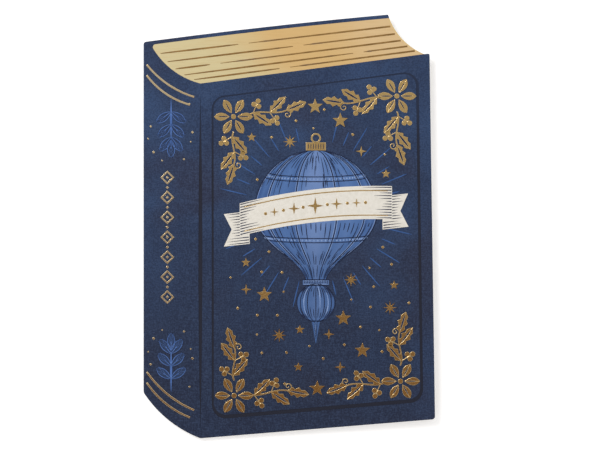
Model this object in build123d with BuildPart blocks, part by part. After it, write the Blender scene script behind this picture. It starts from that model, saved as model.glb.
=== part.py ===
from build123d import *
from math import atan2, cos, degrees, hypot, radians, sin, sqrt, tan
import os

# Greeting card, in millimetres: one sheet of board, folded on the left and die-cut to the
# outline of a standing book. It lies on its back leaf, with its head at +Y.

# Sheet
card_width = 117.0
card_height = 170.0
board = 0.40
crease_gap = 0.20
opening_angle = 1.25

# Die-cut outline
spine_width = 22.9
cover_drop = 25.5
cover_lean = 2.2
head_slope = 7.2
foot_slope = 4.8
rear_setback = 18.8
rear_slope = 6.26
rear_bow = 0.55
spine_foot_rise = 18.4
spine_foot_sag = 2.35
notch_land = 2.2
notch_sag = 2.4
fold_head_radius = 1.2
fold_foot_radius = 2.6
rear_radius = 0.5
cover_head_radius = 0.7
cover_foot_radius = 1.3
spine_foot_radius = 1.8

# Heights of the finish on the front leaf
groove_depth = 0.08
page_depth = 0.05
ink_height = 0.04
label_height = 0.08
foil_height = 0.12
rooting = 0.10

# Page block
rear_edge = 1.45
page_inset = 3.0
page_corner_radius = 1.2
page_hollow_sag = 2.65
page_line_width = 0.55
page_line_gap = 4.2
page_line_margin = 1.6
page_line_breaks = (0.37, 0.58, 0.19, 0.78, 0.42)

# Grooves of the cover
hinge_width = 1.6
hinge_margin = 3.5
frame_side = 4.6
frame_head = 6.2
frame_foot = 7.2
frame_left_width = 0.8
frame_head_width = 0.6
frame_right_width = 1.1
frame_foot_width = 1.5
frame_radius = 5.6
frame_inner_radius = 4.8

# Spine
rule_width = 0.75
rule_pitch = 4.3
rule_fold_inset = 1.3
rule_hinge_inset = 2.5
rule_step_in = 1.7
rule_sag = 1.75
rule_head_offset = 7.1
rule_foot_offset = 5.0
lozenge_count = 7
lozenge_share = 0.7
lozenge_width = 5.6
lozenge_line = 0.55
chain_inset = 9.6
chain_head_gap = 5.4
chain_foot_gap = 11.9
chain_speck_radius = 0.6
twig_inset = 11.1
twig_head_offset = 22.7
twig_foot_offset = 0.1
twig_length = 18.0
twig_leaf_length = 7.0
twig_leaf_width = 2.3
twig_pairs = ((0.30, 54.0), (0.58, 46.0), (0.86, 38.0))
twig_end_share = 0.92

# Ornament in the middle of the cover
ball_level = 14.9
ball_margin = 17.95
ball_drop = 27.4
ball_neck = 4.0
ball_ogee = 6.4
circle_handle = 0.5523
gore_line = 0.40
gore_shares = (-0.80, -0.34, 0.34, 0.80)
collar_width = 10.5
collar_height = 2.2
drop_radius = 7.6
drop_overlap = 0.6
spire_length = 9.5
spire_width = 3.4
cap_width = 8.0
cap_height = 3.2
ring_radius = 1.7
ring_line = 0.55
ray_count = 40
ray_clearance = 4.0
ray_long = 11.0
ray_short = 6.0
ray_width = 0.45
ray_gap = 9.0

# Label across the ornament
label_level = 15.0
label_margin = 16.05
label_width = 13.2
label_arch = 2.2
label_rule_inset = 1.7
label_rule_width = 0.45
label_star_points = 4
label_star = 3.3
label_star_waist = 0.26
label_sparkles = ((8.6, 2.3), (16.6, 1.7))
label_dots = (4.9, 12.9, 20.2)
label_dot_radius = 0.6
tail_length = 10.5
tail_drop = 3.6
tail_tuck = 4.0
tail_notch = 3.2

# Foil sprays in the corners of the frame
spray_inset = 9.0
leaf_length = 9.0
leaf_width = 4.2
leaf_slit = 0.45
leaf_angle = 48.0
slit_start = 0.14
slit_end = 0.84
petal_count = 6
petal_length = 6.2
petal_width = 3.0
petal_start = 1.5
stem_width = 0.55
berry_count = 3
berry_radius = 0.95
berry_ring = 1.25
berry_reach = 4.0
berry_angle = 52.0
spray_gap = 2.45
long_leaf_shares = (0.12, 0.55, 0.96)
short_branch = 13.4
short_leaf_shares = (0.14, 0.60, 0.96)
branch_sway = 1.9

# Stars
middle_star = 3.2
middle_star_points = 5
middle_star_waist = 0.42
scatter_count = 230
scatter_spacing = 4.65
scatter_clearance = 1.3
scatter_margin = 2.5
golden_angle = 137.508

# Kinds of star in the order in which the spiral deals them out. A waist of 1.0 makes a speck.
star_point_counts = (5, 2, 4, 2, 2, 5, 2, 8, 2, 2, 2)
star_radii = (3.2, 0.6, 2.3, 0.6, 0.45, 1.9, 0.6, 2.9, 0.6, 0.45, 0.6)
star_waist_shares = (0.42, 1.0, 0.26, 1.0, 1.0, 0.42, 1.0, 0.30, 1.0, 1.0, 1.0)

# Half widths of the pointed shapes, each as shares of the shape's length and half width
stroke_profile = ((0.5, 1.0),)
taper_profile = ((0.12, 1.0), (0.88, 1.0))
petal_profile = ((0.30, 0.84), (0.62, 1.0))
leaf_profile = ((0.22, 0.84), (0.33, 0.50), (0.50, 1.0), (0.62, 0.54), (0.78, 0.68))

# Outline points that follow from the sizes above
fold_x = -card_width / 2
edge_x = card_width / 2
head_y = card_height / 2
foot_y = -card_height / 2
hinge_x = fold_x + spine_width
cover_width = card_width - spine_width
cover_height = card_height - cover_drop
cover_half_width = cover_width / 2
cover_half_height = cover_height / 2
head_climb = tan(radians(head_slope))
foot_climb = tan(radians(foot_slope))
cover_level = foot_y + cover_half_width * foot_climb + cover_half_height


def on_cover(across, up):
    """A point of the drawn cover, measured from the cover's middle.

    Its rows climb to the right, more at the head than at the foot, and its right side leans in.
    """
    share = (up + cover_half_height) / cover_height
    climb = foot_climb + (head_climb - foot_climb) * share
    width = cover_width - cover_lean * share
    return (hinge_x + width * (across / cover_width + 0.5), cover_level + up + across * climb)


rear_corner = (edge_x - rear_setback, head_y)
fold_head = (fold_x, head_y - (card_width - rear_setback) * tan(radians(rear_slope)))
fold_foot = (fold_x, foot_y + spine_foot_rise)
spine_foot = on_cover(-cover_half_width, -cover_half_height)
cover_foot = on_cover(cover_half_width, -cover_half_height)
cover_head = on_cover(cover_half_width, cover_half_height)
spine_head = on_cover(-cover_half_width, cover_half_height)
notch_end = on_cover(cover_half_width - notch_land, cover_half_height)

# The crease turns the back leaf into the front leaf, which rises from it by the opening angle.
crease_radius = (crease_gap + board) / 2
crease_outer = crease_gap / 2 + board
rise = sin(radians(opening_angle))
run = cos(radians(opening_angle))
crease_top_x = fold_x + crease_outer - crease_outer * rise
crease_top_z = crease_outer + crease_outer * run
front_level = crease_top_z - crease_top_x * rise / run
front_face = Plane(origin=(0, 0, front_level), x_dir=(run, 0, rise), z_dir=(-rise, 0, run))


def pointed(base, tip, width, profile):
    """A flat shape with two pointed ends, whose profile gives its half width along its length."""
    start = Vector(*base)
    along = Vector(*tip) - start
    aside = along.normalized().rotate(Axis.Z, 90) * width / 2
    left = [start + along * share + aside * wide for share, wide in profile]
    right = [start + along * share - aside * wide for share, wide in reversed(profile)]
    with BuildSketch() as shape:
        Polygon(base, *left, tip, *right, align=None)
    return shape.sketch


def leaf(base, tip):
    """A toothed leaf, split down its midrib by a slim slit."""
    start = Vector(*base)
    along = Vector(*tip) - start
    slit = pointed(start + along * slit_start, start + along * slit_end, leaf_slit, stroke_profile)
    return pointed(base, tip, leaf_width, leaf_profile) - slit


def star(centre, points, outer, waist, turn=90.0):
    """A star whose inner corners lie at the waist's share of its radius."""
    corners = []
    for k in range(2 * points):
        reach = outer if k % 2 == 0 else outer * waist
        angle = radians(turn + 180.0 * k / points)
        corners.append((centre[0] + reach * cos(angle), centre[1] + reach * sin(angle)))
    with BuildSketch() as shape:
        Polygon(*corners, align=None)
    return shape.sketch


def dot(centre, radius):
    """A small round spot, its rim in six straight facets."""
    return star(centre, 3, radius, 1.0)


def speck(centre, radius):
    """A tiny diamond."""
    return star(centre, 2, radius, 1.0)


def turned(point, angle, reach):
    """The point that lies a reach away from another, at an angle in degrees."""
    return (point[0] + reach * cos(radians(angle)), point[1] + reach * sin(radians(angle)))


# Page block: the field between the rear cover's edge and the front cover's head, with the
# edges of its pages as slim lines that follow the field's two hollow ends.
page_head = (fold_x + page_inset, fold_head[1] + page_inset * tan(radians(rear_slope)) - rear_edge)
page_far_head = (rear_corner[0], rear_corner[1] - rear_edge)
with BuildLine():
    hollow_left = SagittaArc(page_head, spine_head, -page_hollow_sag)
    hollow_right = SagittaArc(page_far_head, notch_end, -notch_sag)

with BuildSketch() as page_field:
    with BuildLine():
        SagittaArc(page_head, spine_head, -page_hollow_sag)
        Polyline(spine_head, cover_head, (edge_x, page_far_head[1]), page_far_head)
        SagittaArc(page_far_head, page_head, -rear_bow)
    make_face()
    fillet(page_field.vertices().sort_by_distance(page_head)[0], page_corner_radius)

page_lines = []
for row, gap_share in enumerate(page_line_breaks, 1):
    depth = row / (len(page_line_breaks) + 1)
    start = hollow_left @ depth
    end = hollow_right @ depth
    along = (end - start).normalized()
    gap_middle = start + (end - start) * gap_share
    gap_start = gap_middle - along * page_line_gap / 2
    gap_end = gap_middle + along * page_line_gap / 2
    near = start + along * page_line_margin
    far = end - along * page_line_margin
    for line_start, line_end in ((near, gap_start), (gap_end, far)):
        page_lines.append(pointed(line_start, line_end, page_line_width, taper_profile))

# Grooves: the cover's hinge beside the spine, and the rounded frame round the cover's panel.
hinge_top = (hinge_x, spine_head[1] - hinge_margin)
hinge_bottom = (hinge_x, foot_y + hinge_margin)
with BuildSketch() as hinge_groove:
    with BuildLine():
        SagittaArc(hinge_top, hinge_bottom, hinge_width / 2)
        SagittaArc(hinge_bottom, hinge_top, hinge_width / 2)
    make_face()

frame_right = cover_half_width - frame_side
frame_top = cover_half_height - frame_head
frame_bottom = frame_foot - cover_half_height
panel_left = frame_left_width - frame_right
panel_right = frame_right - frame_right_width
panel_top = frame_top - frame_head_width
panel_bottom = frame_bottom + frame_foot_width
with BuildSketch() as frame_groove:
    Polygon(
        on_cover(-frame_right, frame_bottom),
        on_cover(frame_right, frame_bottom),
        on_cover(frame_right, frame_top),
        on_cover(-frame_right, frame_top),
        align=None,
    )
    fillet(frame_groove.vertices(), frame_radius)
    with BuildSketch(mode=Mode.PRIVATE) as frame_inside:
        Polygon(
            on_cover(panel_left, panel_bottom),
            on_cover(panel_right, panel_bottom),
            on_cover(panel_right, panel_top),
            on_cover(panel_left, panel_top),
            align=None,
        )
        fillet(frame_inside.vertices(), frame_inner_radius)
    add(frame_inside.sketch, mode=Mode.SUBTRACT)

# Spine: pairs of curved foil rules at head and foot, which follow the spine's own hollow ends.
foil = []
for step in range(2):
    for level_at_fold, level_at_hinge, offset in (
        (page_head[1], spine_head[1], -rule_head_offset - step * rule_pitch),
        (fold_foot[1], spine_foot[1], rule_foot_offset + (1 - step) * rule_pitch),
    ):
        rule_end_x = hinge_x - rule_hinge_inset - step * rule_step_in
        fall = (level_at_hinge - level_at_fold) / (hinge_x - fold_x)
        rule_line = SagittaArc(
            (fold_x + rule_fold_inset, level_at_fold + rule_fold_inset * fall + offset),
            (rule_end_x, level_at_fold + (rule_end_x - fold_x) * fall + offset),
            -rule_sag,
        )
        with BuildSketch() as rule:
            trace(rule_line, rule_width)
        foil.append(rule.sketch)

# Spine: a printed twig at the head and one at the foot, with leaves in pairs.
ink = []
twig_head_level = fold_head[1] - twig_head_offset
twig_foot_level = fold_foot[1] + twig_foot_offset
for level, heading in ((twig_head_level, -90.0), (twig_foot_level, 90.0)):
    root = (fold_x + twig_inset, level)
    ink.append(pointed(root, turned(root, heading, twig_length), 2 * stem_width, stroke_profile))
    leaves = [(share, side * spread) for share, spread in twig_pairs for side in (-1, 1)]
    leaves.append((twig_end_share, 0.0))
    for share, outward in leaves:
        node = turned(root, heading, twig_length * share)
        leaf_tip = turned(node, heading + outward, twig_leaf_length)
        ink.append(pointed(node, leaf_tip, twig_leaf_width, petal_profile))

# Spine: a chain of open lozenges between the twigs, with specks in them and between them.
twig_reach = twig_length * twig_end_share + twig_leaf_length
chain_top = twig_head_level - twig_reach - chain_head_gap
chain_bottom = twig_foot_level + twig_reach + chain_foot_gap
lozenge_pitch = (chain_top - chain_bottom) / (lozenge_count - 1 + lozenge_share)
half_height = lozenge_pitch * lozenge_share / 2
half_width = lozenge_width / 2
inner_height = half_height - lozenge_line * hypot(half_height, half_width) / half_width
inner_width = half_width * inner_height / half_height
chain_x = fold_x + chain_inset
for link in range(lozenge_count):
    level = chain_bottom + half_height + link * lozenge_pitch
    with BuildSketch() as lozenge:
        for tall, wide, mode in (
            (half_height, half_width, Mode.ADD),
            (inner_height, inner_width, Mode.SUBTRACT),
        ):
            Polygon(
                (chain_x, level - tall),
                (chain_x + wide, level),
                (chain_x, level + tall),
                (chain_x - wide, level),
                align=None,
                mode=mode,
            )
    foil.append(lozenge.sketch)
    foil.append(speck((chain_x, level), chain_speck_radius))
    if link < lozenge_count - 1:
        foil.append(speck((chain_x, level + lozenge_pitch / 2), chain_speck_radius))

# Ornament: a ribbed glass ball that narrows in an ogee to a collar, a smaller ball and a spire.
ball_middle, ball_y = on_cover(0.0, ball_level)
ball_radius = frame_right - ball_margin
handle = circle_handle * ball_radius
neck_y = ball_y - ball_drop


def meridian(share):
    """One line of the ball from pole to neck, at a share of the ball's half width."""
    wide = share * ball_radius
    Bezier(
        (ball_middle, ball_y + ball_radius),
        (ball_middle + share * handle, ball_y + ball_radius),
        (ball_middle + wide, ball_y + handle),
        (ball_middle + wide, ball_y),
    )
    Bezier(
        (ball_middle + wide, ball_y),
        (ball_middle + wide, ball_y - ball_drop / 2),
        (ball_middle + share * ball_ogee, neck_y + ball_drop / 3),
        (ball_middle + share * ball_neck, neck_y),
    )


with BuildSketch() as ball:
    with BuildLine():
        meridian(-1)
        meridian(1)
        Line((ball_middle - ball_neck, neck_y), (ball_middle + ball_neck, neck_y))
    make_face()
    for share in gore_shares:
        with BuildLine():
            meridian(share)
        trace(line_width=gore_line, mode=Mode.SUBTRACT)

drop_y = neck_y - collar_height - drop_radius + drop_overlap
spire_y = drop_y - drop_radius + drop_overlap
with BuildSketch() as pendant:
    with Locations((ball_middle, drop_y)):
        Circle(drop_radius)
    with BuildLine():
        Polyline(
            (ball_middle - spire_width / 2, spire_y),
            (ball_middle + spire_width / 2, spire_y),
            (ball_middle, spire_y - spire_length),
            close=True,
        )
    make_face()
    with Locations((ball_middle, neck_y - collar_height / 2)):
        Rectangle(collar_width, collar_height)
ink.extend([ball.sketch, pendant.sketch])

with BuildSketch() as cap:
    with Locations((ball_middle, ball_y + ball_radius + cap_height / 2)):
        Rectangle(cap_width, cap_height)
    with Locations((ball_middle, ball_y + ball_radius + cap_height + ring_radius)):
        Circle(ring_radius + ring_line / 2)
        Circle(ring_radius - ring_line / 2, mode=Mode.SUBTRACT)
foil.append(cap.sketch)

# Rays round the ball, long and short in turn, with a gap at its cap, its drop and the label.
rays = []
for k in range(ray_count):
    angle = 360.0 * (k + 0.5) / ray_count
    if not ray_gap < angle % 90 < 90 - ray_gap:
        continue
    reach = ray_long if k % 2 == 0 else ray_short
    near = turned((ball_middle, ball_y), angle, ball_radius + ray_clearance)
    rays.append(pointed(near, turned(near, angle, reach), ray_width, stroke_profile))

# Label: an arched band with a notched tail at each end, tucked behind it, and a foil rule along
# each side.
band_low = label_level - label_width / 2
band_high = label_level + label_width / 2
band_half = cover_half_width - label_margin
tail_x = band_half - tail_tuck
tail_end = tail_x + tail_length
with BuildSketch() as band:
    with BuildLine():
        SagittaArc(on_cover(-band_half, band_high), on_cover(band_half, band_high), label_arch)
        Line(on_cover(band_half, band_high), on_cover(band_half, band_low))
        SagittaArc(on_cover(band_half, band_low), on_cover(-band_half, band_low), -label_arch)
        Line(on_cover(-band_half, band_low), on_cover(-band_half, band_high))
    make_face()

with BuildSketch() as tails:
    for side in (-1, 1):
        Polygon(
            on_cover(side * tail_x, band_low - tail_drop),
            on_cover(side * tail_end, band_low - tail_drop),
            on_cover(side * (tail_end - tail_notch), label_level - tail_drop),
            on_cover(side * tail_end, band_high - tail_drop),
            on_cover(side * tail_x, band_high - tail_drop),
            align=None,
        )
ink.append(tails.sketch)

for level in (band_high - label_rule_inset, band_low + label_rule_inset):
    start = on_cover(label_rule_inset - band_half, level)
    end = on_cover(band_half - label_rule_inset, level)
    with BuildSketch() as label_rule:
        trace(SagittaArc(start, end, label_arch), label_rule_width)
    foil.append(label_rule.sketch)

# A row of sparkles and dots along the label's middle, alike on both sides of a larger star.
with BuildLine():
    label_row = SagittaArc(on_cover(-band_half, label_level), on_cover(band_half, label_level), label_arch)
foil.append(star(tuple(label_row @ 0.5), label_star_points, label_star, label_star_waist))
for side in (-1, 1):
    for offset, radius in label_sparkles:
        spot = tuple(label_row @ (0.5 + side * offset / label_row.length))
        foil.append(star(spot, label_star_points, radius, label_star_waist))
    for offset in label_dots:
        foil.append(dot(tuple(label_row @ (0.5 + side * offset / label_row.length)), label_dot_radius))

# Corner sprays: a star-shaped flower in each corner of the frame, with a long branch along the
# head or foot and a short one down the side. Each branch sways once and carries leaves in turn,
# with a bunch of berries across from each.
branch_start = spray_inset + petal_length
long_branch = frame_right - branch_start - leaf_length - spray_gap


def spray(side, end):
    """The flower, branches, leaves and berries of one corner."""
    level = frame_top if end > 0 else frame_bottom
    flower = on_cover(side * (frame_right - spray_inset), level - end * spray_inset)
    pieces = [dot(flower, berry_radius)]
    for k in range(petal_count):
        angle = 360.0 * k / petal_count
        near = turned(flower, angle, petal_start)
        far = turned(near, angle, petal_length)
        pieces.append(pointed(near, far, petal_width, petal_profile))
    for reach, along, away, leaf_shares in (
        (long_branch, 1, 0, long_leaf_shares),
        (short_branch, 0, 1, short_leaf_shares),
    ):
        points = []
        for share, sway in ((0, 0), (1 / 3, -branch_sway), (2 / 3, branch_sway), (1, 0)):
            forward = branch_start + reach * share
            aside = spray_inset + sway
            across = frame_right - (forward * along + aside * away)
            up = level - end * (forward * away + aside * along)
            points.append(on_cover(side * across, up))
        with BuildSketch() as stem:
            with BuildLine():
                path = Bezier(*points)
            trace(line_width=stem_width)
        pieces.append(stem.sketch)
        turn = side * end * (along - away)
        for share in leaf_shares:
            node = tuple(path @ share)
            growth = path % share
            heading = degrees(atan2(growth.Y, growth.X))
            if share == leaf_shares[-1]:
                pieces.append(leaf(node, turned(node, heading, leaf_length)))
            else:
                pieces.append(leaf(node, turned(node, heading + turn * leaf_angle, leaf_length)))
                stalk = heading - turn * berry_angle
                bunch = turned(node, stalk, berry_reach)
                for k in range(berry_count):
                    berry = turned(bunch, stalk + 360.0 * k / berry_count, berry_ring)
                    pieces.append(dot(berry, berry_radius))
            turn = -turn
    return pieces


for side in (-1, 1):
    for end in (-1, 1):
        foil.extend(spray(side, end))

# Stars and specks strewn over the panel on a sunflower spiral, wherever they clear the rest.
for end, level in ((1, frame_top - spray_inset), (-1, frame_bottom + spray_inset)):
    foil.append(star(on_cover(0.0, level), middle_star_points, middle_star, middle_star_waist))
laid_out = Compound([*foil, *ink, band.sketch])
for k in range(scatter_count):
    across, up = turned((0.0, 0.0), k * golden_angle, scatter_spacing * sqrt(k))
    kind = k % len(star_radii)
    room = star_radii[kind] + scatter_clearance
    border = room + scatter_margin
    if abs(across) > frame_right - border or not frame_bottom + border < up < frame_top - border:
        continue
    spot = on_cover(across, up)
    if Vertex(*spot).distance_to(laid_out) > room:
        foil.append(star(spot, star_point_counts[kind], star_radii[kind], star_waist_shares[kind]))
ink.extend(rays)

# The sheet: a hairpin profile along the whole height, trimmed to the die-cut outline, with the
# grooves and the page field pressed in and the ink and foil raised on the front leaf.
with BuildPart() as folded_card:
    with BuildSketch(Plane.XZ):
        with BuildLine():
            back_leaf = Line((edge_x + board, board / 2), (fold_x + crease_outer, board / 2))
            crease = JernArc(back_leaf @ 1, back_leaf % 1, crease_radius, opening_angle - 180)
            PolarLine(crease @ 1, card_width + board, direction=crease % 1)
        trace(line_width=board)
    extrude(amount=card_height / 2 + board, both=True)

    with BuildSketch() as outline:
        with BuildLine():
            Line(fold_foot, fold_head)
            SagittaArc(fold_head, rear_corner, rear_bow)
            SagittaArc(rear_corner, notch_end, -notch_sag)
            Polyline(notch_end, cover_head, cover_foot, spine_foot)
            SagittaArc(spine_foot, fold_foot, spine_foot_sag)
        make_face()
        for corner, radius in (
            (fold_head, fold_head_radius),
            (rear_corner, rear_radius),
            (cover_head, cover_head_radius),
            (cover_foot, cover_foot_radius),
            (spine_foot, spine_foot_radius),
            (fold_foot, fold_foot_radius),
        ):
            fillet(outline.vertices().sort_by_distance(corner)[0], radius)
    extrude(amount=card_width, mode=Mode.INTERSECT)

    with BuildSketch(front_face.offset(-page_depth)):
        add(page_field.sketch)
    extrude(amount=board, mode=Mode.SUBTRACT)

    with BuildSketch(front_face.offset(-groove_depth)):
        add([hinge_groove.sketch, frame_groove.sketch])
    extrude(amount=board, mode=Mode.SUBTRACT)

    with BuildSketch(front_face.offset(-page_depth - rooting)):
        add(page_lines)
    extrude(amount=rooting + page_depth)

    for shapes, height in ((ink, ink_height), ([band.sketch], label_height), (foil, foil_height)):
        with BuildSketch(front_face.offset(-rooting)):
            add(shapes)
        extrude(amount=rooting + height)

folded_card.part.label = "folded_card"
os.makedirs("parts", exist_ok=True)
export_step(folded_card.part, "parts/folded_card.step")
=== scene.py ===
from math import cos, hypot, pi, radians, sin, sqrt, tan

import bmesh
import bpy
import numpy as np
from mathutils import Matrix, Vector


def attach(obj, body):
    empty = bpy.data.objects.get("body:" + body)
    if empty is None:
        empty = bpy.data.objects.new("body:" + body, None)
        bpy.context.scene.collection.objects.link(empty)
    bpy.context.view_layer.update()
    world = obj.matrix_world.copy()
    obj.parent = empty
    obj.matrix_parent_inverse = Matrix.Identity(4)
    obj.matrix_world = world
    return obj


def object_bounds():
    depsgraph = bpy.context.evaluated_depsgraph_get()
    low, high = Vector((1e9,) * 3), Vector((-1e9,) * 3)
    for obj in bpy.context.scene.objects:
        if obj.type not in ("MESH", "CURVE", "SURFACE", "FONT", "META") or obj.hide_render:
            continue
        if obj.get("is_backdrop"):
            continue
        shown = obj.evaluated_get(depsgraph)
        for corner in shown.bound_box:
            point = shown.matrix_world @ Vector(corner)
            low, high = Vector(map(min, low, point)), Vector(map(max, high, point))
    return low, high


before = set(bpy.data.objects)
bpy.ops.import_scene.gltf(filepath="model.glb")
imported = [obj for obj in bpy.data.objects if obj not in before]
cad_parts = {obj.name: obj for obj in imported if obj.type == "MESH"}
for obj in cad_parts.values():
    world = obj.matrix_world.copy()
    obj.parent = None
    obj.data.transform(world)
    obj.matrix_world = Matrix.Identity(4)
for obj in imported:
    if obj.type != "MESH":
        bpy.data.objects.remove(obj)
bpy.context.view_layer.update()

# The sheet: one piece of smooth board, printed navy with the mottle and grain of book cloth on
# its outside and left pale inside. It is creased once, on the left, die-cut to the outline of a
# standing book, and pressed down in the grooves of the drawn cover.
card_width = 117.0
card_height = 170.0
board = 0.40
crease_gap = 0.20
opening_angle = 1.25
foil_height = 0.12
inner_face = 0.35
cut_start = 0.12
wall_tilt = 0.5
flat_tilt = 0.9

fold_x = -card_width / 2
edge_x = card_width / 2
crease_outer = crease_gap / 2 + board
rise = sin(radians(opening_angle))
run = cos(radians(opening_angle))
crease_top_x = fold_x + crease_outer - crease_outer * rise
crease_top_z = crease_outer + crease_outer * run
front_level = crease_top_z - crease_top_x * rise / run


def srgb(red, green, blue):
    """A colour as it is seen, in steps of 255, turned into the linear light that shaders use."""
    seen = np.array((red, green, blue)) / 255.0
    light = np.where(seen < 0.04045, seen / 12.92, ((seen + 0.055) / 1.055) ** 2.4)
    return (*light.tolist(), 1.0)


class Field:
    """A number that varies over a surface. Arithmetic on it adds Math nodes."""

    def __init__(self, finish, socket):
        self.finish = finish
        self.socket = socket

    def math(self, operation, *operands):
        return self.finish.node("ShaderNodeMath", {"operation": operation}, dict(enumerate(operands)))

    def __add__(self, other):
        return self.math("ADD", self, other)

    def __sub__(self, other):
        return self.math("SUBTRACT", self, other)

    def __rsub__(self, other):
        return self.math("SUBTRACT", other, self)

    def __mul__(self, other):
        return self.math("MULTIPLY", self, other)

    def __truediv__(self, other):
        return self.math("DIVIDE", self, other)

    def __abs__(self):
        return self.math("ABSOLUTE", self)

    __radd__ = __add__
    __rmul__ = __mul__

    def above(self, limit):
        return self.math("GREATER_THAN", self, limit)

    def below(self, limit):
        return self.math("LESS_THAN", self, limit)

    def ramp(self, start, end):
        """0 up to the start, 1 from the end on, and a smooth rise between them."""
        settings = {"interpolation_type": "SMOOTHSTEP"}
        return self.finish.node("ShaderNodeMapRange", settings, {0: self, 1: start, 2: end})


class Finish:
    """A material round one Principled shader, whose constants are set on its own sockets.

    A world is made the same way, round its Background shader.
    """

    def __init__(self, name, library=bpy.data.materials, shader="Principled BSDF", **constants):
        self.material = library.new(name)
        self.material.use_nodes = True
        self.tree = self.material.node_tree
        self.shader = self.tree.nodes[shader]
        for socket, value in constants.items():
            self.shader.inputs[socket.replace("_", " ")].default_value = value

    def node(self, kind, settings=None, sockets=None, output=0):
        """Adds any node: its settings first, then its sockets' values or links."""
        made = self.tree.nodes.new(kind)
        for name, value in (settings or {}).items():
            setattr(made, name, value)
        for name, value in (sockets or {}).items():
            if isinstance(value, Field):
                self.tree.links.new(value.socket, made.inputs[name])
            else:
                made.inputs[name].default_value = value
        return Field(self, made.outputs[output])

    def feed(self, socket, value):
        self.tree.links.new(value.socket, self.shader.inputs[socket])

    def drawn(self):
        """What is drawn on a slab: its length in mm, its breadth from -1 to 1, and a tone."""
        return self.parts(self.node("ShaderNodeAttribute", {"attribute_name": "drawn"}, output="Vector"))

    def blend(self, mask, under, over):
        """Colours mixed by a mask: 0 leaves the first, 1 gives the second."""
        sockets = {0: mask, 6: under, 7: over}
        return self.node("ShaderNodeMix", {"data_type": "RGBA"}, sockets, output=2)

    def place(self):
        return self.node("ShaderNodeTexCoord", output="Object")

    def parts(self, vector):
        """The three numbers of a vector."""
        return [self.node("ShaderNodeSeparateXYZ", {}, {0: vector}, output=k) for k in range(3)]

    def noise(self, scale, stretch=(1.0, 1.0, 1.0), detail=3.0):
        """Cloudy noise from 0 to 1 round a middle of 0.5, with so many cells a metre."""
        spread = self.node("ShaderNodeMapping", {}, {"Vector": self.place(), "Scale": stretch})
        return self.node("ShaderNodeTexNoise", {}, {"Vector": spread, "Scale": scale, "Detail": detail})

    def bump(self, height, distance):
        """Relief from a height field, with its depth in metres."""
        sockets = {"Strength": 1.0, "Distance": distance, "Height": height}
        self.feed("Normal", self.node("ShaderNodeBump", {}, sockets))


navy = srgb(42, 57, 86)
navy_light = srgb(51, 72, 107)
navy_dull = srgb(45, 49, 70)
navy_dark = srgb(31, 35, 52)
thread = srgb(66, 82, 112)
groove_ink = srgb(36, 38, 50)
board_pale = srgb(226, 223, 214)
board_core = srgb(206, 203, 194)
page_ink = srgb(214, 188, 136)
ink_blue = srgb(54, 82, 134)
cream = srgb(234, 228, 215)
gold = srgb(204, 167, 106)

cloth = Finish("navy_board", Specular_IOR_Level=0.12)
x, y, z = cloth.parts(cloth.place())
height = (z - front_level / 1000) * run - x * rise
clouds = cloth.noise(38.0, detail=4.0).ramp(0.38, 0.66)
dull_clouds = cloth.noise(24.0, (1.0, 1.3, 1.0)).ramp(0.46, 0.68)
warp = cloth.noise(900.0, (3.2, 0.35, 1.0), 2.0)
weft = cloth.noise(900.0, (0.35, 3.2, 1.0), 2.0)
grain = (warp + weft) * 0.5
speckle = cloth.noise(1700.0, detail=1.0)
colour = cloth.blend(clouds * 0.85, navy, navy_light)
colour = cloth.blend(dull_clouds * 0.85, colour, navy_dull)
# Painted shade: the board is darkened towards the foot, less so near its right edge.
foot_shade = y.ramp(0.055, -0.092) * (0.78 - x.ramp(0.042, 0.056) * 0.35)
colour = cloth.blend(foot_shade, colour, navy_dark)
lit_threads = grain.ramp(0.44, 0.60) * 0.22 + speckle.ramp(0.48, 0.66) * 0.20
colour = cloth.blend(lit_threads, colour, thread)
colour = cloth.blend((0.50 - speckle).ramp(0.0, 0.10) * 0.32, colour, navy_dark)
# The groove's dark ink fades towards the head.
groove_fade = y.ramp(0.02, 0.06) * 0.45
upward = cloth.parts(cloth.node("ShaderNodeNewGeometry", output="True Normal"))[2]
facing = upward.above(flat_tilt) * x.above(crease_top_x / 1000)
# What is pressed, printed or stamped has its own height off the front face, in mm.
for low, high, ink in (
    (-0.095, -0.064, cloth.blend(groove_fade, groove_ink, navy)),
    (-0.062, -0.030, page_ink),
    (0.020, 0.060, ink_blue),
    (0.060, 0.100, cream),
    (0.100, 0.300, gold),
):
    printed = height.above(low / 1000) * height.below(high / 1000) * facing
    colour = cloth.blend(printed, colour, ink)
past_crease = x.above((fold_x + board / 2) / 1000)
inside = z.above(inner_face / 1000) * height.below(-inner_face / 1000) * past_crease
cut_edge = abs(upward).below(wall_tilt) * height.below(-cut_start / 1000) * past_crease
colour = cloth.blend(inside, colour, board_pale)
cloth.feed("Base Color", cloth.blend(cut_edge, colour, board_core))
stamped_foil = height.above(0.00010) * facing
cloth.feed("Metallic", stamped_foil)
cloth.feed("Roughness", 0.62 - stamped_foil * 0.32)
cloth.bump(grain + speckle * 0.4, 0.00009)
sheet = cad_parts["folded_card"]
sheet.data.materials.clear()
sheet.data.materials.append(cloth.material)

# The page edges: a field in pale gold ink between the rear cover's edge and the front cover's
# head, printed flat on the pressed-down part of the board. Its colour runs from straw on the left
# through amber to a paler end, and long fibres run through it.
spine_width = 22.9
cover_drop = 25.5
cover_lean = 2.2
head_slope = 7.2
foot_slope = 4.8
rear_setback = 18.8
rear_slope = 6.26
rear_bow = 0.55
spine_foot_rise = 18.4
notch_land = 2.2
notch_sag = 2.4
rear_edge = 1.45
page_inset = 3.0
page_hollow_sag = 2.65
page_level = -0.02
page_floor = -0.10

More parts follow.
